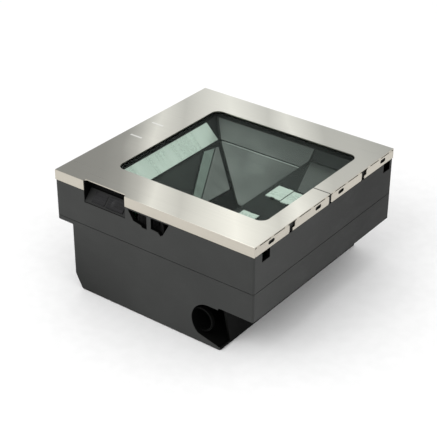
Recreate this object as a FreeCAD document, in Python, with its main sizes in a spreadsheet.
import FreeCAD, Part
import os
import re
import Sketcher
from FreeCAD import Placement, Rotation, Vector

# In-counter barcode scanner, millimetres, +Z up.
# Origin: centre of the footprint, on the plane of the housing's underside.
# The front face looks along -Y; the deep half of the tub is off centre along X.

DIMENSIONS = [
    ("platter_side", 292.0, "side of the square stainless platter"),
    ("overall_height", 156.0, "underside of the tub to top of the platter"),
    ("sheet", 1.2, "platter sheet thickness"),
    ("skirt_height", 13.3, "folded skirt of the platter, outside"),
    ("window_left", -92.0, "window opening, left edge"),
    ("window_right", 123.0, "window opening, right edge"),
    ("window_front", -97.0, "window opening, front edge"),
    ("window_back", 100.5, "window opening, back edge"),
    ("window_radius", 11.0, "corner radius of the window opening"),
    ("glass_overlap", 4.5, "how far the glass reaches under the platter"),
    ("glass_thickness", 3.0, "scan window glass"),
    ("gasket_thickness", 0.5, "bonding gasket between glass and platter"),
    ("housing_half", 145.9, "half side of the plastic housing below the skirt"),
    ("neck_half", 143.6, "half side of the housing inside the skirt"),
    ("wall", 2.5, "housing wall"),
    ("corner_radius", 2.5, "vertical corner radius of the housing"),
    ("edge_radius", 0.8, "lower edges of the housing"),
    ("seam_level", 94.2, "parting line between the two housing halves"),
    ("shoulder_level", 142.2, "where the housing steps in under the skirt"),
    ("deck_top", 152.5, "top of the upper housing deck"),
    ("flange_left_level", 88.5, "underside of the left counter flange"),
    ("flange_right_level", 57.5, "underside of the right overhang"),
    ("tub_left", -123.2, "left wall of the deep tub"),
    ("tub_right", 100.5, "right wall of the deep tub"),
    ("chamfer_run", 11.2, "bottom left chamfer, along X"),
    ("chamfer_rise", 21.0, "bottom left chamfer, along Z"),
    ("bay_radius", 24.5, "cable bay, rounded left side"),
    ("bay_centre_x", 83.5, "cable bay arc centre"),
    ("bay_centre_z", 30.5, "cable bay arc centre"),
    ("bay_depth", 62.0, "cable bay depth from the front face"),
    ("bay_sill", 3.6, "bay floor at the open right corner"),
    ("bay_side_low", 19.4, "bay opening in the right wall, depth at the sill"),
    ("bay_side_high", 8.0, "bay opening in the right wall, depth at the top"),
    ("hook_radius", 16.0, "cable hook in the bay mouth, outside"),
    ("hook_x", 69.5, "cable hook centre"),
    ("hook_z", 28.0, "cable hook centre"),
    ("notch_left", -100.5, "finger notch in the front skirt"),
    ("notch_right", -37.5, "finger notch in the front skirt"),
    ("notch_floor", 126.0, "lower edge of the recess under the notch"),
    ("notch_depth", 14.4, "depth of the recess under the notch"),
    ("notch_lip", 4.2, "how far the notch reaches into the platter top"),
    ("port_top", 141.0, "sound port, upper edge"),
    ("port_bottom", 123.5, "sound port, lower edge"),
    ("slot_width", 15.0, "tab slots in the right wall"),
    ("slot_bottom", 130.0, "tab slots, lower edge"),
    ("slot_front", -123.7, "front tab slot, middle along Y"),
    ("slot_back", 131.9, "back tab slot, middle along Y"),
    ("slit_centre", 2.7, "slit through the right margin, along Y"),
    ("slit_width", 1.5, "slit through the right margin"),
    ("rim_level", 146.0, "where the optical well starts to narrow"),
    ("rim_top", 150.8, "top of the optical well rim"),
    ("well_left", -93.0, "optical well, inside left"),
    ("well_right", 124.0, "optical well, inside right"),
    ("well_front", -98.0, "optical well, inside front"),
    ("well_back", 101.5, "optical well, inside back"),
    ("fold_level", 126.0, "where the well walls change slope"),
    ("well_floor", 73.0, "floor of the optical well"),
    ("floor_left", -4.0, "well floor, left edge"),
    ("floor_front", -25.0, "well floor, front edge"),
    ("floor_back", 28.0, "well floor, back edge"),
    ("shell", 2.5, "optics chassis wall"),
    ("mirror", 1.6, "mirror glass thickness"),
    ("shelf_left", 61.5, "mirror shelf, free edge"),
    ("shelf_front", -85.0, "mirror shelf, front edge"),
    ("shelf_back", 89.0, "mirror shelf, back edge"),
    ("shelf_top", 136.0, "mirror shelf, top face"),
    ("shelf_thickness", 2.5, "mirror shelf"),
    ("spin_x", 86.0, "axis of the spinning mirror"),
    ("spin_y", 1.5, "axis of the spinning mirror"),
    ("polygon_radius", 17.0, "spinning mirror, centre to corner"),
    ("polygon_height", 16.0, "spinning mirror, height"),
    ("shaft_radius", 2.0, "motor shaft"),
    ("bearing_gap", 0.02, "running clearance of the shaft in its bearings"),
    ("button_travel", 1.2, "travel of the volume button"),
    ("button_gap", 0.35, "clearance round the volume button"),
    ("board_level", 10.0, "underside of the main board"),
    ("board_thickness", 1.6, "circuit boards"),
]
VALUES = {name: size for name, size, note in DIMENSIONS}
WORD = re.compile(r"[a-z][a-z_]+")

doc = FreeCAD.newDocument("InCounterScanner")
sheet = doc.addObject("Spreadsheet::Sheet", "Sizes")
for line, (name, size, note) in enumerate(DIMENSIONS, start=1):
    sheet.set("A%d" % line, str(size))
    sheet.setAlias("A%d" % line, name)
    sheet.set("B%d" % line, note)
doc.recompute()

NODES = []


# ---------------------------------------------------------------- formulas
def number(formula):
    """Value of a formula written with the sheet's names."""
    text = WORD.sub(lambda word: "(%r)" % VALUES[word.group(0)], str(formula))
    return FreeCAD.Units.Quantity(text).Value


def bind(item, prop, formula):
    """Tie a property to the sheet."""
    text = WORD.sub(lambda word: "Sizes." + word.group(0), str(formula))
    item.setExpression(prop, text)


def place(item, x, y, z, rotation=None):
    """Put an object at three formulas, with an optional turn."""
    item.Placement = Placement(Vector(number(x), number(y), number(z)), rotation or Rotation())
    for axis, formula in zip("xyz", (x, y, z)):
        bind(item, "Placement.Base." + axis, formula)


def node(item, label):
    """Name a finished sub-part and keep it for export."""
    item.Label = label
    NODES.append(item)
    return item


# ---------------------------------------------------------------- Part solids
def box(name, x, y, z, length, width, height, rotation=None):
    """Box from its low corner and three sizes."""
    item = doc.addObject("Part::Box", name)
    for prop, formula in (("Length", length), ("Width", width), ("Height", height)):
        bind(item, prop, formula)
    place(item, x, y, z, rotation)
    return item


def block(name, x0, x1, y0, y1, z0, z1):
    """Box between two corners, each a formula."""
    spans = ["(%s)-(%s)" % pair for pair in ((x1, x0), (y1, y0), (z1, z0))]
    return box(name, x0, y0, z0, *spans)


def rod(name, x, y, z, radius, height, rotation=None):
    """Cylinder standing on a point."""
    item = doc.addObject("Part::Cylinder", name)
    bind(item, "Radius", radius)
    bind(item, "Height", height)
    place(item, x, y, z, rotation)
    return item


def cone(name, x, y, z, radius_low, radius_high, height, rotation=None):
    """Cone frustum standing on a point."""
    item = doc.addObject("Part::Cone", name)
    bind(item, "Radius1", radius_low)
    bind(item, "Radius2", radius_high)
    bind(item, "Height", height)
    place(item, x, y, z, rotation)
    return item


def frustum(name, low, high, z0, z1):
    """Rectangular funnel between two levels; low and high are (x0, x1, y0, y1)."""
    item = doc.addObject("Part::Wedge", name)
    # A wedge grows along its own Y, so it is turned to grow along Z: local Z becomes -Y.
    sizes = (
        ("Xmin", low[0]), ("Xmax", low[1]), ("Zmin", "-(%s)" % low[3]), ("Zmax", "-(%s)" % low[2]),
        ("X2min", high[0]), ("X2max", high[1]), ("Z2min", "-(%s)" % high[3]), ("Z2max", "-(%s)" % high[2]),
        ("Ymin", z0), ("Ymax", z1),
    )
    for prop, formula in sizes:
        setattr(item, prop, number(formula))
        bind(item, prop, formula)
    item.Placement = Placement(Vector(), Rotation(Vector(1, 0, 0), 90))
    return item


def union(name, items):
    """Fused solid."""
    item = doc.addObject("Part::MultiFuse", name)
    item.Shapes = items
    return item


def less(name, base, tools):
    """Base with one or several tools cut away."""
    item = doc.addObject("Part::Cut", name)
    item.Base = base
    item.Tool = tools[0] if len(tools) == 1 else union(name + "Tools", tools)
    return item


def shared(name, one, other):
    """Solid that two solids have in common."""
    item = doc.addObject("Part::Common", name)
    item.Base = one
    item.Tool = other
    return item


def group(name, items):
    """Several separate solids in one sub-part."""
    item = doc.addObject("Part::Compound", name)
    item.Links = items
    return item


def sheet_plate(name, corners, thickness):
    """Flat plate under a polygon given by its corners in space."""
    outline = doc.addObject("Part::Polygon", name + "Outline")
    outline.Nodes = [Vector(*[number(formula) for formula in corner]) for corner in corners]
    outline.Close = True
    item = doc.addObject("Part::Extrusion", name)
    item.Base = outline
    item.DirMode = "Normal"
    item.Solid = True
    bind(item, "LengthFwd", thickness)
    return item


# ---------------------------------------------------------------- PartDesign
def new_body(name):
    return doc.addObject("PartDesign::Body", name)


def new_sketch(body, role, offset, name):
    """Sketch on one of the body's own origin planes, moved along its normal."""
    plane = [item for item in body.Origin.OriginFeatures if item.Role == role][0]
    sketch = body.newObject("Sketcher::SketchObject", name)
    sketch.AttachmentSupport = [(plane, "")]
    sketch.MapMode = "FlatFace"
    sketch.AttachmentOffset = Placement(Vector(0, 0, number(offset)), Rotation())
    bind(sketch, "AttachmentOffset.Base.z", offset)
    return sketch


def pin_point(sketch, line, label, x, y):
    """Tie the start of a line to two formulas."""
    for kind, axis, formula in (("DistanceX", "x", x), ("DistanceY", "y", y)):
        made = sketch.addConstraint(Sketcher.Constraint(kind, -1, 1, line, 1, number(formula)))
        sketch.renameConstraint(made, axis + label)
        bind(sketch, "Constraints." + axis + label, formula)


def polygon(sketch, points):
    """Closed outline of straight lines through points given as formulas."""
    places = [Vector(number(x), number(y), 0) for x, y in points]
    first = sketch.GeometryCount
    for start, end in zip(places, places[1:] + places[:1]):
        sketch.addGeometry(Part.LineSegment(start, end))
    for step in range(len(points)):
        following = first + (step + 1) % len(points)
        sketch.addConstraint(Sketcher.Constraint("Coincident", first + step, 2, following, 1))
    for step, (x, y) in enumerate(points):
        pin_point(sketch, first + step, "_%d" % (first + step), x, y)


def rectangle(sketch, x0, x1, y0, y1):
    polygon(sketch, [(x0, y0), (x1, y0), (x1, y1), (x0, y1)])


def pad(body, sketch, length, towards_plus=False):
    """Add material from a sketch."""
    feature = body.newObject("PartDesign::Pad", sketch.Name + "Pad")
    feature.Profile = sketch
    feature.Reversed = towards_plus
    bind(feature, "Length", length)
    doc.recompute()
    return feature


def pocket(body, sketch, depth, flip=False):
    """Remove material from a sketch, and make sure that it cut something."""
    before = body.Shape.Volume
    feature = body.newObject("PartDesign::Pocket", sketch.Name + "Pocket")
    feature.Profile = sketch
    feature.Reversed = flip
    bind(feature, "Length", depth)
    doc.recompute()
    if body.Shape.Volume >= before - 1e-6:
        raise RuntimeError(feature.Name + " cut nothing")
    return feature


def round_edges(body, radius, wanted):
    """Fillet the edges of the body's tip that a test picks."""
    tip = body.Tip
    names = ["Edge%d" % (i + 1) for i, edge in enumerate(tip.Shape.Edges) if wanted(edge)]
    feature = body.newObject("PartDesign::Fillet", tip.Name + "Fillet")
    feature.Base = (tip, names)
    bind(feature, "Radius", radius)
    doc.recompute()
    return feature


def upright(edge):
    """True for a straight edge along Z."""
    ends = [vertex.Point for vertex in edge.Vertexes]
    if len(ends) != 2:
        return False
    run = ends[1] - ends[0]
    return abs(run.x) < 1e-6 and abs(run.y) < 1e-6


def lengthwise(edge):
    """True for a straight edge along Y."""
    ends = [vertex.Point for vertex in edge.Vertexes]
    if len(ends) != 2:
        return False
    run = ends[1] - ends[0]
    return abs(run.x) < 1e-6 and abs(run.z) < 1e-6


def prism(name, axis, points, start, length):
    """Outline in the plane across an axis, extruded along that axis from a start."""
    outline = doc.addObject("Part::Polygon", name + "Outline")
    if axis == "X":
        outline.Nodes = [Vector(number(start), number(u), number(v)) for u, v in points]
        direction = Vector(1, 0, 0)
    elif axis == "Y":
        outline.Nodes = [Vector(number(u), number(start), number(v)) for u, v in points]
        direction = Vector(0, 1, 0)
    else:
        outline.Nodes = [Vector(number(u), number(v), number(start)) for u, v in points]
        direction = Vector(0, 0, 1)
    outline.Close = True
    item = doc.addObject("Part::Extrusion", name)
    item.Base = outline
    item.DirMode = "Custom"
    item.Dir = direction
    item.Solid = True
    bind(item, "LengthFwd", length)
    return item


def rounded_slab(name, x0, x1, y0, y1, z0, height, radius):
    """Slab with round vertical corners, as a body."""
    body = new_body(name)
    sketch = new_sketch(body, "XY_Plane", z0, name + "Outline")
    rectangle(sketch, x0, x1, y0, y1)
    pad(body, sketch, height)
    round_edges(body, radius, upright)
    return body


def ring(name, x, y, z, outer, inner, height, rotation=None):
    """Round tube."""
    body = rod(name + "Outer", x, y, z, outer, height, rotation)
    bore = rod(name + "Bore", x, y, z, inner, height, rotation)
    return less(name, body, [bore])


ALONG_Y = Rotation(Vector(1, 0, 0), -90)
ALONG_X = Rotation(Vector(0, 1, 0), 90)
LEANING = Rotation(Vector(1, 0, 0), 45)
INNER_HALF = "(neck_half-wall)"


def recess_place(along_x, up_slope, out):
    """Place on the recess slope: from its lower left corner, along X, up the slope and outwards."""
    corner = Vector(number("notch_left") + along_x, number("-housing_half"), number("notch_floor"))
    shift = LEANING.multVec(Vector(0, up_slope, out))
    return Placement(corner + shift, LEANING)


def leaning_box(name, u0, u1, s0, s1, n0, n1):
    """Box on the recess slope: u along X, s up the slope, n outwards."""
    item = doc.addObject("Part::Box", name)
    bind(item, "Length", u1 - u0)
    bind(item, "Width", s1 - s0)
    bind(item, "Height", n1 - n0)
    item.Placement = recess_place(u0, s0, n0)
    return item


def leaning_rod(name, u, s, n0, n1, radius):
    """Cylinder on the recess slope, along the outward direction."""
    item = doc.addObject("Part::Cylinder", name)
    bind(item, "Radius", radius)
    bind(item, "Height", n1 - n0)
    item.Placement = recess_place(u, s, n0)
    return item


# ---------------------------------------------------------------- lower housing
BAY_FALL = 0.24


def cable_bay(name, grow, back):
    """Cable bay: a round left side, a flat ceiling and a floor that falls towards the open right corner."""
    front = "-housing_half-1"
    length = "housing_half+1+(%s)" % back
    ceiling = "bay_centre_z+bay_radius+%s" % grow
    left = rod(name + "Round", "bay_centre_x", front, "bay_centre_z", "bay_radius+%s" % grow, length, ALONG_Y)
    right = block(name + "Corner", "bay_centre_x", "tub_right-wall", front, back, 0, ceiling)
    far_left = "(bay_centre_x-bay_radius-5)"
    limits = prism(name + "Limits", "Y", [
        (far_left, "bay_sill-%s+%s*(tub_right-%s)" % (grow, BAY_FALL, far_left)),
        ("tub_right-wall", "bay_sill-%s+%s*wall" % (grow, BAY_FALL)),
        ("tub_right-wall", ceiling + "+1"),
        (far_left, ceiling + "+1"),
    ], front, length)
    return shared(name, union(name + "Whole", [left, right]), limits)


# Housing screws: x, y, underside of the boss, depth of the head's counterbore
HOUSING_SCREWS = [
    (x, y, level, bore)
    for x, level, bore in ((-133, "flange_left_level", 3.0), (123, "flange_right_level", 28.0))
    for y in (-118, 118)
]
SCREW_PLACES = [(x, y) for x, y, level, bore in HOUSING_SCREWS]
BOSS_TOP = "seam_level-0.5"
BOARD_POSTS = [(x, y) for x in (-98, 48) for y in (-124, 0, 124)]
JACK_WINDOWS = [("host", 78, 40.5), ("aux", 78, 23.5)]
JACK_BORES = [("power", 92.3, 41.0), ("antenna", 92.3, 23.0)]
BAY_BACK = "-housing_half+bay_depth"


def make_lower_housing():
    shell = new_body("LowerShell")
    outline = new_sketch(shell, "XZ_Plane", "housing_half", "LowerOutline")
    polygon(outline, [
        ("-housing_half", "flange_left_level"),
        ("tub_left", "flange_left_level"),
        ("tub_left", "chamfer_rise"),
        ("tub_left+chamfer_run", 0),
        ("tub_right", 0),
        ("tub_right", "flange_right_level"),
        ("housing_half", "flange_right_level"),
        ("housing_half", "seam_level"),
        ("-housing_half", "seam_level"),
    ])
    pad(shell, outline, "2*housing_half", towards_plus=True)
    round_edges(shell, "corner_radius", upright)
    seam = number("seam_level")
    round_edges(shell, "edge_radius", lambda edge: lengthwise(edge) and edge.CenterOfMass.z < seam - 1)

    inside = new_body("LowerInside")
    hollow = new_sketch(inside, "XZ_Plane", "housing_half-wall", "LowerHollow")
    polygon(hollow, [
        ("-housing_half+wall", "flange_left_level+wall"),
        ("tub_left+wall", "flange_left_level+wall"),
        ("tub_left+wall", "chamfer_rise+0.7"),
        ("tub_left+chamfer_run+1.4", "wall"),
        ("tub_right-wall", "wall"),
        ("tub_right-wall", "flange_right_level+wall"),
        ("housing_half-wall", "flange_right_level+wall"),
        ("housing_half-wall", "seam_level+1"),
        ("-housing_half+wall", "seam_level+1"),
    ])
    pad(inside, hollow, "2*(housing_half-wall)", towards_plus=True)
    room = less("LowerRoom", inside, [cable_bay("BayWalls", "wall", BAY_BACK + "+wall")])
    empty = less("LowerEmpty", shell, [room])

    added = [empty]
    for step, (x, y, level, bore) in enumerate(HOUSING_SCREWS):
        added.append(rod("LowerBoss%d" % step, x, y, level, 5.5, "%s-(%s)" % (BOSS_TOP, level)))
    for step, (x, y) in enumerate(BOARD_POSTS):
        added.append(rod("BoardPost%d" % step, x, y, "wall/2", 3.5, "board_level-wall/2"))
    full = union("LowerFull", added)

    cuts = [cable_bay("BayHollow", "0", BAY_BACK)]
    cuts.append(prism("BaySide", "X", [
        ("-housing_half-1", "bay_sill"),
        ("-housing_half+bay_side_low", "bay_sill"),
        ("-housing_half+bay_side_high", "flange_right_level"),
        ("-housing_half-1", "flange_right_level"),
    ], "tub_right-wall-1", "wall+2"))
    for step, (x, y, level, bore) in enumerate(HOUSING_SCREWS):
        cuts.append(rod("LowerBore%d" % step, x, y, "%s-1" % level, 3.6, "%s+1" % bore))
        cuts.append(rod("LowerHole%d" % step, x, y, level, 1.7, "seam_level-(%s)" % level))
    for step, (x, y) in enumerate(BOARD_POSTS):
        cuts.append(rod("BoardPilot%d" % step, x, y, "board_level-6", 1.2, 7))
    for name, x, z in JACK_WINDOWS:
        cuts.append(block(name + "Window", x - 8, x + 8, BAY_BACK + "-1", BAY_BACK + "+wall+1",
                          z - 6.5, z + 6.5))
    for name, x, z in JACK_BORES:
        cuts.append(rod(name + "Bore", x, BAY_BACK + "-1", z, 4.5, "wall+2", ALONG_Y))
    hook_ring = ring("HookRing", "hook_x", "-housing_half+5.4", "hook_z", "hook_radius", "hook_radius-2.2",
                     4.5, ALONG_Y)
    hook = shared("CableHook", hook_ring, cable_bay("HookRoom", "0.6", BAY_BACK))
    return node(union("LowerHousing", [less("LowerHollowed", full, cuts), hook]), "lower_housing")


# ---------------------------------------------------------------- upper housing
CHASSIS_SCREWS = [(x, y) for x in (-106.0, 134.0) for y in (-111.0, 114.5)]
RECESS_WINDOW = (2.0, 61.0, 1.8, 18.8, -6.0, 1.0)
SPEAKER_X = -3.0
SPEAKER_Z = 129.0


def make_upper_housing():
    shell = new_body("UpperShell")
    band = new_sketch(shell, "XY_Plane", "seam_level", "Band")
    rectangle(band, "-housing_half", "housing_half", "-housing_half", "housing_half")
    pad(shell, band, "shoulder_level-seam_level")
    round_edges(shell, "corner_radius", upright)
    neck = new_sketch(shell, "XY_Plane", "shoulder_level", "Neck")
    rectangle(neck, "-neck_half", "neck_half", "-neck_half", "neck_half")
    pad(shell, neck, "deck_top-shoulder_level")
    shoulder = number("shoulder_level")
    round_edges(shell, 2.0, lambda edge: upright(edge) and edge.CenterOfMass.z > shoulder)

    hollow = block("UpperHollow", "-" + INNER_HALF, INNER_HALF, "-" + INNER_HALF, INNER_HALF,
                   "seam_level-1", "deck_top-wall")
    glass_hole = rounded_slab("GlassHole", "window_left-6", "window_right+6", "window_front-6",
                              "window_back+6", "deck_top-wall-1", "wall+2", "corner_radius")
    empty = less("UpperEmpty", shell, [hollow, glass_hole])

    # Sloping recess under the finger notch, with its own wall behind it.
    recess_wall = prism("RecessWall", "X", [
        ("-neck_half+0.6", "notch_floor-1.1"),
        ("-housing_half+notch_depth+wall", "notch_floor+notch_depth-1.0"),
        ("-housing_half+notch_depth+wall", "deck_top-1"),
        ("-neck_half+0.6", "deck_top-1"),
    ], "notch_left-wall", "notch_right-notch_left+2*wall")
    recess = prism("Recess", "X", [
        ("-housing_half-1", "notch_floor-1"),
        ("-housing_half+notch_depth", "notch_floor+notch_depth"),
        ("-housing_half+notch_depth", "deck_top+1"),
        ("-housing_half-1", "deck_top+1"),
    ], "notch_left", "notch_right-notch_left")
    added = [empty, recess_wall]
    for step, (x, y) in enumerate(SCREW_PLACES):
        added.append(rod("UpperBoss%d" % step, x, y, "seam_level+0.2", 4.0, 22))
        support = 142.0 if x > 0 else -142.0
        low, high = sorted((x, support))
        added.append(block("UpperRib%d" % step, low, high, y - 1, y + 1, "seam_level+1", "seam_level+20"))
    for step, (x, y) in enumerate(CHASSIS_SCREWS):
        added.append(rod("DeckBoss%d" % step, x, y, "rim_level", 3.2, "deck_top-wall-rim_level+1"))
    full = union("UpperFull", added)

    cuts = [recess]
    cuts.append(leaning_box("RecessWindow", *RECESS_WINDOW))
    left_port = [
        (-33.3, "port_top"), (-5, "port_top"), (-5, "port_bottom"),
        (-12, "port_bottom"), (-14, "port_bottom+2.5"), (-25, "port_bottom+4.5"),
    ]
    right_port = [
        (1, "port_top"), (28, "port_top"), (18.3, "port_bottom+0.5"),
        (15, "port_bottom-1.5"), (11, "port_bottom+2"), (1, "port_bottom+3"),
    ]
    for name, points in (("LeftPort", left_port), ("RightPort", right_port)):
        cuts.append(prism(name, "Y", points, "-housing_half-1", "housing_half-%s+2" % INNER_HALF))
    for middle in ("slot_front", "slot_back"):
        cuts.append(block(middle.title().replace("_", ""), INNER_HALF + "-1", "housing_half+1",
                          middle + "-slot_width/2", middle + "+slot_width/2",
                          "slot_bottom", "shoulder_level+1"))
    for step, (x, y) in enumerate(SCREW_PLACES):
        cuts.append(rod("UpperPilot%d" % step, x, y, "seam_level-1", 1.5, 17))
    for step, (x, y) in enumerate(CHASSIS_SCREWS):
        cuts.append(rod("DeckPilot%d" % step, x, y, "rim_level-1", 1.25, 5))
    # A fine step round the lower edge reads as the parting line.
    step_out = block("SeamOut", "-housing_half-1", "housing_half+1", "-housing_half-1", "housing_half+1",
                     "seam_level-0.2", "seam_level+0.8")
    step_in = rounded_slab("SeamIn", "-housing_half+0.7", "housing_half-0.7", "-housing_half+0.7",
                           "housing_half-0.7", "seam_level-1", 3, "corner_radius-0.6")
    cuts.append(less("SeamStep", step_out, [step_in]))
    return node(less("UpperHousing", full, cuts), "upper_housing")


# ---------------------------------------------------------------- indicator and volume button
LENS = (10.0, 29.2, 3.4, 17.6)
BUTTON = (32.0, 58.0, 3.4, 17.6)
BUTTON_MIDDLE = ((BUTTON[0] + BUTTON[1]) / 2, (BUTTON[2] + BUTTON[3]) / 2)


def make_indicator_group():
    panel = leaning_box("PanelPlate", 0.3, 62.7, 1.6, 19.8, 0, 1.4)
    holes = [leaning_box("LensHole", *LENS, -1, 3), leaning_box("ButtonHole", *BUTTON, -1, 3)]
    node(less("IndicatorPanel", panel, holes), "indicator_panel")
    node(leaning_box("IndicatorLens", *LENS, -1.2, 1.9), "indicator_lens")

    gap = number("button_gap")
    cap = leaning_box("ButtonCap", BUTTON[0] + gap, BUTTON[1] - gap, BUTTON[2] + gap, BUTTON[3] - gap,
                      -0.4, 2.6)
    flange = leaning_box("ButtonFlange", BUTTON[0] - 0.8, BUTTON[1] + 0.8, BUTTON[2] - 0.8, BUTTON[3] + 0.8,
                         -2.0, -0.4)
    stem = leaning_rod("ButtonStem", *BUTTON_MIDDLE, -6.0, -2.0, 2.0)
    dish = doc.addObject("Part::Sphere", "ButtonDish")
    bind(dish, "Radius", 40)
    dish.Placement = recess_place(*BUTTON_MIDDLE, 42.0)
    node(less("VolumeButton", union("ButtonWhole", [cap, flange, stem]), [dish]), "volume_button")

    across, along = BUTTON_MIDDLE
    switch = leaning_box("SwitchCase", across - 3.2, across + 3.2, along - 3.2, along + 3.2, -11.0, -8.2)
    plunger_tip = -6.3 - number("button_travel")
    plunger = leaning_rod("SwitchPlunger", *BUTTON_MIDDLE, -8.2, plunger_tip, 1.6)
    node(union("TactSwitch", [switch, plunger]), "tact_switch")
    node(leaning_box("IndicatorBoard", -3, 66, 0, 20, -12.6, -11.0), "indicator_board")
    leds = []
    for step in range(3):
        foot = leaning_rod("LedFoot%d" % step, 13.5 + 6 * step, 10, -11.0, -9.8, 1.9)
        bulb = leaning_rod("LedBulb%d" % step, 13.5 + 6 * step, 10, -9.8, -6.5, 1.5)
        leds.append(union("Led%d" % step, [foot, bulb]))
    node(group("StatusLeds", leds), "status_leds")
    spacers = [leaning_rod("Spacer%d" % step, u, 10, -11.0, -3.0, 1.5) for step, u in enumerate((-0.6, 63.6))]
    node(group("IndicatorSpacers", spacers), "indicator_spacers")


# ---------------------------------------------------------------- loudspeaker
def make_speaker():
    front = "-" + INNER_HALF
    rim = rod("SpeakerRim", SPEAKER_X, front, SPEAKER_Z, 19.5, 2, ALONG_Y)
    basket = cone("SpeakerBasket", SPEAKER_X, front + "+2", SPEAKER_Z, 18.5, 12.5, 10, ALONG_Y)
    bore = cone("SpeakerBore", SPEAKER_X, front, SPEAKER_Z, 17.4, 10.8, 10.8, ALONG_Y)
    eye = rod("SpeakerEye", SPEAKER_X, front + "+10", SPEAKER_Z, 6.2, 4, ALONG_Y)
    node(less("SpeakerFrame", union("SpeakerBody", [rim, basket]), [bore, eye]), "speaker_frame")

    outer = cone("ConeOuter", SPEAKER_X, front + "+1.2", SPEAKER_Z, 16.6, 6.6, 8.6, ALONG_Y)
    inner = cone("ConeInner", SPEAKER_X, front + "+0.7", SPEAKER_Z, 16.6, 6.0, 8.6, ALONG_Y)
    cap = rod("ConeCap", SPEAKER_X, front + "+8.0", SPEAKER_Z, 6.2, 1.2, ALONG_Y)
    node(union("SpeakerCone", [less("ConeShell", outer, [inner]), cap]), "speaker_cone")

    node(rod("SpeakerMagnet", SPEAKER_X, front + "+12", SPEAKER_Z, 11.5, 7, ALONG_Y), "speaker_magnet")


# ---------------------------------------------------------------- optical well
UPPER_SLOPE = "(rim_level-fold_level)"
WELL_TOP = ("well_left", "well_right", "well_front", "well_back")
WELL_FOLD = (
    "well_left+" + UPPER_SLOPE, "well_right", "well_front+" + UPPER_SLOPE, "well_back-" + UPPER_SLOPE,
)
WELL_FLOOR = ("floor_left", "well_right", "floor_front", "floor_back")


def grown(rect, amount):
    """Rectangle (x0, x1, y0, y1) moved outwards; the upright right wall keeps its true thickness."""
    left, right, front, back = rect
    return "%s-%s" % (left, amount), right + "+shell", "%s-%s" % (front, amount), "%s+%s" % (back, amount)


def make_optics_chassis():
    slant = "1.4*shell"
    outside = [
        frustum("WellOutUpper", grown(WELL_FOLD, slant), grown(WELL_TOP, slant), "fold_level", "rim_level"),
        frustum("WellOutLower", grown(WELL_FLOOR, slant), grown(WELL_FOLD, slant),
                "well_floor", "fold_level"),
        block("WellBase", *grown(WELL_FLOOR, slant), "well_floor-shell", "well_floor"),
        block("WellRim", *grown(WELL_TOP, "shell"), "rim_level-1", "rim_top"),
        block("WellFlange", "well_left-17", "well_right+14", "well_front-17", "well_back+17",
              "rim_level-shell", "rim_level"),
    ]
    hollow = [
        frustum("WellInUpper", WELL_FOLD, WELL_TOP, "fold_level", "rim_level"),
        frustum("WellInLower", WELL_FLOOR, WELL_FOLD, "well_floor", "fold_level"),
        block("WellInRim", *WELL_TOP, "rim_level", "rim_top+1"),
    ]
    for step, (x, y) in enumerate(CHASSIS_SCREWS):
        hollow.append(rod("FlangeHole%d" % step, x, y, "rim_level-shell-1", 1.5, "shell+2"))
    hollow.append(rod("LaserPort", "well_right-1", "spin_y", 98, 4.7, 6, ALONG_X))
    node(less("OpticsChassis", union("WellOutside", outside), hollow), "optics_chassis")

    screws = []
    for step, (x, y) in enumerate(CHASSIS_SCREWS):
        head = rod("ChassisHead%d" % step, x, y, "rim_level-shell-2", 2.8, 2)
        shank = rod("ChassisShank%d" % step, x, y, "rim_level-shell", 1.25, 6)
        screws.append(union("ChassisScrew%d" % step, [head, shank]))
    node(group("ChassisScrews", screws), "chassis_screws")

    seal_out = block("SealOut", *grown(WELL_TOP, "shell"), "rim_top", "rim_top+0.2")
    seal_in = block("SealIn", *WELL_TOP, "rim_top-1", "rim_top+1")
    node(less("DustSeal", seal_out, [seal_in]), "dust_seal")

    shelf = block("Shelf", "shelf_left", "well_right", "shelf_front", "shelf_back",
                  "shelf_top-shelf_thickness", "shelf_top")
    lip = block("ShelfLip", "shelf_left", "shelf_left+2", "shelf_front+6", "shelf_back-12",
                "shelf_top-shelf_thickness-5", "shelf_top-shelf_thickness")
    node(union("MirrorShelf", [shelf, lip]), "mirror_shelf")


def left_slope_x(level):
    """X of the lower left slope of the well at a level."""
    rise = "((%s)-well_floor)/(fold_level-well_floor)" % level
    return "(floor_left+(well_left+%s-floor_left)*%s)" % (UPPER_SLOPE, rise)


def cross_slope_y(level, side):
    """Y of the lower front or back slope of the well at a level."""
    low, high = (("floor_front", WELL_FOLD[2]) if side < 0 else ("floor_back", WELL_FOLD[3]))
    return "(%s+(%s-(%s))*((%s)-well_floor)/(fold_level-well_floor))" % (low, high, low, level)


def on_left_slope(y, level):
    return (left_slope_x(level), y, level)


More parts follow.
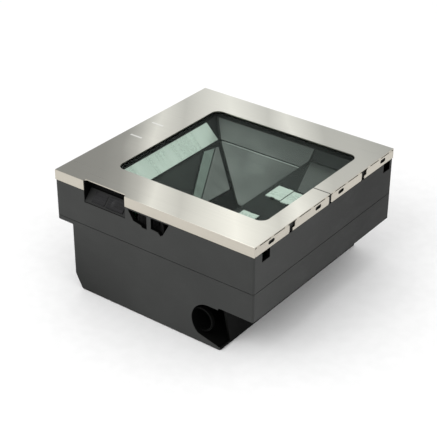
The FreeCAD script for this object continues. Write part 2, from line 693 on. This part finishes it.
def make_mirrors():
    low, high = "fold_level+0.6", "rim_level-0.6"
    upper_x = {low: "well_left+rim_level-(%s)" % low, high: "well_left+rim_level-(%s)" % high}
    node(sheet_plate("LeftMirror", [
        (upper_x[low], -74, low), (upper_x[low], 78, low),
        (upper_x[high], 78, high), (upper_x[high], -90, high),
    ], "mirror"), "left_pattern_mirror")

    # Three strips fan out over the lower left slope from its back corner.
    fans = (
        ("fan_mirror_front", ((-44, 95), (-36.5, 95), (39.5, 124), (-70, 124))),
        ("fan_mirror_middle", ((-23, 90.1), (63, 121.8), (44.5, 123.8), (-32, 94.2))),
        ("fan_mirror_back", ((-20.5, 90.1), (37, 88), (70, 121.2), (65.5, 121.8))),
    )
    for label, outline in fans:
        corners = [on_left_slope(y, z) for y, z in outline]
        node(sheet_plate(label.title().replace("_", ""), corners, "mirror"), label)

    for side, word in ((1, "back"), (-1, "front")):
        top, bottom = "fold_level-1", "well_floor+3"
        corners = [
            ("%s+3.5" % left_slope_x(bottom), cross_slope_y(bottom, side), bottom),
            ("well_right-2", cross_slope_y(bottom, side), bottom),
            ("well_right-2", cross_slope_y(top, side), top),
            ("%s+3.5" % left_slope_x(top), cross_slope_y(top, side), top),
        ]
        corners = corners if side > 0 else corners[::-1]
        node(sheet_plate(word + "LowerMirror", corners, "mirror"), word + "_pattern_mirror")

    reach = {low: "well_back-rim_level+(%s)" % low, high: "well_back-rim_level+(%s)" % high}
    node(sheet_plate("BackUpperMirror", [
        (upper_x[low] + "+4", reach[low], low), ("shelf_left-1", reach[low], low),
        ("shelf_left-1", reach[high], high), (upper_x[high] + "+4", reach[high], high),
    ], "mirror"), "back_upper_mirror")

    shelf_mirrors = (
        ("shelf_mirror_middle", 69.5, 90.5, -17.5, 11.0),
        ("shelf_mirror_right", 92.0, 118.0, -20.0, 9.5),
        ("shelf_mirror_front", 70.0, 92.0, -78.0, -61.0),
    )
    for name, x0, x1, y0, y1 in shelf_mirrors:
        node(block(name + "_glass", x0, x1, y0, y1, "shelf_top", "shelf_top+1.2"), name)
    node(prism("ShelfMirrorBack", "Z", [(66, 84), (94, 13), (121, 13), (121, 84)], "shelf_top", 1.0),
         "shelf_mirror_back")
    clips = []
    clip_places = ((80, 12.2), (80, -18.7), (105, 10.7), (105, -21.2), (81, -59.8), (81, -79.2))
    for step, (x, y) in enumerate(clip_places):
        clips.append(block("MirrorClip%d" % step, x - 2.5, x + 2.5, y - 1.2, y + 1.2,
                           "shelf_top", "shelf_top+1.8"))
    node(group("MirrorClips", clips), "mirror_clips")


# ---------------------------------------------------------------- spinning mirror and its motor
def turned_box(name, centre, turn, corner, size):
    """Box given in axes turned about a centre."""
    item = doc.addObject("Part::Box", name)
    for prop, formula in zip(("Length", "Width", "Height"), size):
        bind(item, prop, formula)
    item.Placement = Placement(centre + turn.multVec(Vector(*corner)), turn)
    return item


def make_motor():
    x, y = "spin_x", "spin_y"
    plate = block("MotorPlate", "spin_x-20", "spin_x+20", "spin_y-21", "spin_y+21",
                  "well_floor", "well_floor+1.6")
    node(plate, "motor_base_plate")
    base = "well_floor+1.6"
    node(ring("BearingHousing", x, y, base, 6.0, 4.5, 13.4), "bearing_housing")
    bearings = []
    for step, level in enumerate((base + "+1.4", base + "+9.4")):
        bearings.append(ring("Bearing%d" % step, x, y, level, 4.5, "shaft_radius+bearing_gap", 3.0))
    node(group("MotorBearings", bearings), "motor_bearings")

    core = [ring("StatorYoke", x, y, base + "+3", 8.0, 6.0, 6)]
    coils = []
    for step in range(6):
        turn = Rotation(Vector(0, 0, 1), 60 * step)
        centre = Vector(number(x), number(y), number(base))
        core.append(turned_box("StatorTooth%d" % step, centre, turn, (7.5, -1.1, 3.5), (5.5, 2.2, 5.0)))
        spool = turned_box("Coil%d" % step, centre, turn, (8.6, -2.8, 2.0), (3.4, 5.6, 8.0))
        slot = turned_box("CoilSlot%d" % step, centre, turn, (8.0, -1.1, 3.5), (6.0, 2.2, 5.0))
        coils.append(less("StatorCoil%d" % step, spool, [slot]))
    node(union("StatorCore", core), "stator_core")
    node(group("StatorCoils", coils), "stator_coils")

    screws = []
    for step, (dx, dy) in enumerate(((-17, -18), (17, -18), (-17, 18), (17, 18))):
        screws.append(rod("MotorScrew%d" % step, "spin_x+%d" % dx, "spin_y+%d" % dy, base, 2.4, 1.6))
    node(group("MotorScrews", screws), "motor_screws")

    cup = rod("CupOuter", x, y, base + "+2", 16.0, 13.9)
    room = rod("CupRoom", x, y, base + "+1", 14.4, 13.0)
    bore = rod("CupBore", x, y, base, "shaft_radius", 20)
    node(less("RotorCup", cup, [room, bore]), "rotor_cup")
    mirror_foot = base + "+15.9"
    solid = doc.addObject("Part::Prism", "PolygonSolid")
    solid.Polygon = 4
    bind(solid, "Circumradius", "polygon_radius")
    bind(solid, "Height", "polygon_height")
    place(solid, x, y, mirror_foot)
    hole = rod("PolygonBore", x, y, base, "shaft_radius", 50)
    node(less("PolygonMirror", solid, [hole]), "polygon_mirror")
    node(ring("PolygonClip", x, y, mirror_foot + "+polygon_height", 5.0, "shaft_radius", 1.2), "polygon_clip")
    node(rod("MotorShaft", x, y, base + "+0.5", "shaft_radius", "polygon_height+18"), "motor_shaft")


# ---------------------------------------------------------------- laser and light collection
SENSOR_X = 116.0
SENSOR_Y = 29.0


def make_laser():
    barrel = rod("LaserBarrel", 107, "spin_y", 98, 4.4, 26, ALONG_X)
    bore = rod("LaserBore", 106, "spin_y", 98, 2.0, 4, ALONG_X)
    node(less("LaserModule", barrel, [bore]), "laser_module")
    bracket = block("LaserBlock", "well_right+shell", "well_right+shell+5", "spin_y-12", "spin_y+12", 88, 108)
    hole = rod("LaserBlockBore", "well_right", "spin_y", 98, 4.4, 12, ALONG_X)
    node(less("LaserBracket", bracket, [hole]), "laser_bracket")
    fins = []
    for step in range(5):
        y = "spin_y-10.5+%d" % (5 * step)
        fins.append(block("Fin%d" % step, "well_right+shell+5", "well_right+shell+9", y, y + "+1", 103, 108))
        fins.append(block("FinLow%d" % step, "well_right+shell+5", "well_right+shell+9", y, y + "+1", 88, 93))
    node(group("LaserHeatSink", fins), "laser_heat_sink")

    board = block("SensorPlate", 106, "well_right", 16, 42, 108, 109.6)
    diode = rod("SensorCan", SENSOR_X, SENSOR_Y, 104, 4.0, 4)
    node(union("Photodetector", [board, diode]), "photodetector")
    lens = doc.addObject("Part::Sphere", "LensBall")
    bind(lens, "Radius", 14)
    place(lens, SENSOR_X, SENSOR_Y, 104)
    trim = rod("LensTrim", SENSOR_X, SENSOR_Y, 89, 5.5, 2.6)
    node(shared("CollectingLens", lens, trim), "collecting_lens")
    holder = ring("LensHolder", SENSOR_X, SENSOR_Y, 89, 6.0, 5.5, 19)
    gap = block("LensHolderGap", SENSOR_X, SENSOR_X + 7, SENSOR_Y - 7, SENSOR_Y + 7, 92, 104)
    node(less("LensTube", holder, [gap]), "lens_tube")


# ---------------------------------------------------------------- electronics
CHIPS = [
    (-60, -60, 28, 28, 2.6), (-60, 20, 20, 20, 2.2), (-10, -50, 14, 20, 2.2), (-10, 10, 12, 12, 1.8),
    (-85, 80, 16, 30, 12.0), (20, 70, 18, 18, 14.0), (20, -100, 24, 12, 9.0),
]


def make_electronics():
    top = "board_level+board_thickness"
    plate = block("MainPlate", -104, 54, -130, 130, "board_level", top)
    holes = [
        rod("BoardHole%d" % step, x, y, "board_level-1", 1.3, "board_thickness+2")
        for step, (x, y) in enumerate(BOARD_POSTS)
    ]
    node(less("MainBoard", plate, holes), "main_board")
    chips = [
        block("Chip%d" % step, x, x + width, y, y + depth, top, "%s+%s" % (top, height))
        for step, (x, y, width, depth, height) in enumerate(CHIPS)
    ]
    node(group("BoardComponents", chips), "board_components")
    can = block("CanOut", -40, -14, 60, 100, top, top + "+6")
    can_room = block("CanIn", -39.4, -14.6, 60.6, 99.4, "board_level", top + "+5.4")
    node(less("ShieldCan", can, [can_room]), "shield_can")
    screws = []
    for step, (x, y) in enumerate(BOARD_POSTS):
        head = rod("BoardHead%d" % step, x, y, top, 2.8, 1.8)
        shank = rod("BoardShank%d" % step, x, y, "board_level-5", 1.2, "5+board_thickness")
        screws.append(union("BoardScrew%d" % step, [head, shank]))
    node(group("BoardScrews", screws), "board_screws")

    node(block("InterfacePlate", 61, 97, -66, -64.4, 6, 54), "interface_board")
    front = BAY_BACK + "-1"
    for word, x, z in JACK_WINDOWS:
        case = block(word + "JackCase", x - 7.8, x + 7.8, front, -66, z - 6.3, z + 6.3)
        socket = block(word + "JackSocket", x - 6, x + 6, front + "-1", front + "+12", z - 4, z + 4)
        latch = block(word + "JackLatch", x - 2, x + 2, front + "-1", front + "+12", z - 5.4, z - 3.9)
        node(less(word.capitalize() + "Jack", case, [socket, latch]), word + "_jack")
    for word, x, z in JACK_BORES:
        case = rod(word + "JackCase", x, front, z, 4.5, "-66-(%s)" % front, ALONG_Y)
        socket = rod(word + "JackSocket", x, front + "-1", z, 3.1, 11, ALONG_Y)
        pin = rod(word + "JackPin", x, front + "+1", z, 0.9, 11, ALONG_Y)
        body = less(word + "JackShell", case, [socket])
        node(union(word.capitalize() + "Jack", [body, pin]), word + "_jack")

    coil_out = block("CoilOut", -101, 130, -106, 109.5, "rim_level-shell-4", "rim_level-shell")
    coil_in = block("CoilIn", -97.5, "well_right+shell+0.4", -102.5, 106, "rim_level-shell-5", "rim_level")
    node(less("AntennaCoil", coil_out, [coil_in]), "eas_antenna_coil")


def make_fasteners():
    screws = []
    for step, (x, y, level, bore) in enumerate(HOUSING_SCREWS):
        seat = "%s+%s" % (level, bore)
        head = rod("HousingHead%d" % step, x, y, seat + "-2.4", 3.0, 2.4)
        shank = rod("HousingShank%d" % step, x, y, seat, 1.5, "seam_level+14-(%s)" % seat)
        screws.append(union("HousingScrew%d" % step, [head, shank]))
    node(group("HousingScrews", screws), "housing_screws")
    bumper_places = ((-125, -110), (-125, 125), (136.5, -125), (136.5, 125), (-5, 128), (60, -125))
    bumpers = [
        rod("Bumper%d" % step, x, y, "deck_top", 4.0, "overall_height-sheet-deck_top-0.1")
        for step, (x, y) in enumerate(bumper_places)
    ]
    node(group("PlatterBumpers", bumpers), "platter_bumpers")


# ---------------------------------------------------------------- platter
# Tabs of the right skirt, front to back, and the middles of their oblong holes
TABS = ((-144.4, -79.5), (-68.5, 1.0), (5.5, 72.5), (83.0, 144.4))
TAB_HOLES = (-114.0, -21.5, 26.6, 121.0)
TAB_TOP = 153.5


def window_slab(name, grow, z0, height):
    """Slab with the outline of the window, grown all round."""
    return rounded_slab(name, "window_left-%s" % grow, "window_right+%s" % grow, "window_front-%s" % grow,
                        "window_back+%s" % grow, z0, height, "window_radius+%s*0.5" % grow)


def make_platter():
    half = "platter_side/2"
    foot = "overall_height-skirt_height"
    under = "overall_height-sheet"
    pan = new_body("PlatterPan")
    blank = new_sketch(pan, "XY_Plane", foot, "PlatterBlank")
    rectangle(blank, "-" + half, half, "-" + half, half)
    pad(pan, blank, "skirt_height")
    top = number("overall_height")
    round_edges(pan, 1.0, lambda edge: abs(edge.CenterOfMass.z - top) < 1e-6)
    inside = new_sketch(pan, "XY_Plane", foot, "PlatterInside")
    rectangle(inside, "-%s+sheet" % half, "%s-sheet" % half, "-%s+sheet" % half, "%s-sheet" % half)
    pocket(pan, inside, "skirt_height-sheet", flip=True)

    cuts = [
        window_slab("WindowHole", "0", under + "-1", "sheet+2"),
        rounded_slab("NotchGap", "notch_left", "notch_right", "-%s-8" % half, "-%s+notch_lip" % half,
                     foot + "-1", "skirt_height+2", 3),
        block("RightSkirt", half + "-sheet", half + "+1", "-%s+sheet+0.4" % half, half + "-sheet-0.4",
              foot + "-1", under + "-0.02"),
        block("Slit", "window_right-1", half + "+1", "slit_centre-slit_width/2", "slit_centre+slit_width/2",
              foot + "-1", "overall_height+1"),
    ]
    plate = less("PlatterPlate", pan, cuts)

    pieces = [plate]
    for step, (y0, y1) in enumerate(TABS):
        nip = 1.4
        outline = [
            (y0 + nip, foot), (y1 - nip, foot), (y1, foot + "+1.4"), (y1, TAB_TOP - nip),
            (y1 - nip, TAB_TOP), (y0 + nip, TAB_TOP), (y0, TAB_TOP - nip), (y0, foot + "+1.4"),
        ]
        pieces.append(prism("Tab%d" % step, "X", outline, half + "-sheet", "sheet-0.1"))
        middle = (y0 + y1) / 2
        for spot, y in enumerate((y0 + 6, middle, y1 - 6)):
            pieces.append(block("TabBend%d_%d" % (step, spot), half + "-sheet", half + "-0.3", y - 3, y + 3,
                                TAB_TOP - 0.5, under + "+0.3"))
    for step, y in enumerate((TABS[1][0] - 4.5, TABS[3][0] - 4.5)):
        pieces.append(block("TabHook%d" % step, half + "-sheet", half + "-0.1", y, y + 5.5,
                            foot, foot + "+4"))
    whole = union("PlatterWhole", pieces)

    holes = []
    for step, y in enumerate(TAB_HOLES):
        holes.append(block("TabHole%d" % step, half + "-3", half + "+1", y - 3.5, y + 3.5, 146.6, 151.4))
        for end in (-3.5, 3.5):
            holes.append(rod("TabHoleEnd%d_%d" % (step, end > 0), half + "-3", y + end, 149, 2.4, 4, ALONG_X))
    node(less("Platter", whole, holes), "platter")

    glass_top = under + "-gasket_thickness"
    node(window_slab("WindowGlass", "glass_overlap", glass_top + "-glass_thickness", "glass_thickness"),
         "window_glass")
    gasket_out = window_slab("GasketOut", "glass_overlap", glass_top, "gasket_thickness")
    gasket_in = window_slab("GasketIn", "0", glass_top + "-1", "3")
    node(less("WindowGasket", gasket_out, [gasket_in]), "window_gasket")

    flat = block("InsertFlat", "window_right", half + "-0.3", "slit_centre-slit_width/2",
                 "slit_centre+slit_width/2", under, "overall_height-0.15")
    drop = block("InsertDrop", half + "-sheet", half + "-0.3", "slit_centre-slit_width/2",
                 "slit_centre+slit_width/2", foot + "+0.5", under)
    node(union("SlitInsert", [flat, drop]), "slit_insert")


# ---------------------------------------------------------------- build, check and write
def faults():
    """Everything that would make the model unfit to write."""
    found = [item.Name for item in doc.Objects if "Invalid" in item.State or "Error" in item.State]
    for item in NODES:
        shape = item.Shape
        if shape.isNull() or not shape.isValid() or not shape.Solids:
            found.append(item.Label)
    return found


def main():
    make_lower_housing()
    make_upper_housing()
    make_indicator_group()
    make_speaker()
    make_optics_chassis()
    make_mirrors()
    make_motor()
    make_laser()
    make_electronics()
    make_fasteners()
    make_platter()
    doc.recompute()
    broken = faults()
    if broken:
        raise RuntimeError("not written, faulty: " + ", ".join(broken))
    os.makedirs("parts", exist_ok=True)
    for item in NODES:
        item.Shape.exportStep(os.path.join("parts", item.Label + ".step"))
    print("wrote", len(NODES), "parts")


main()
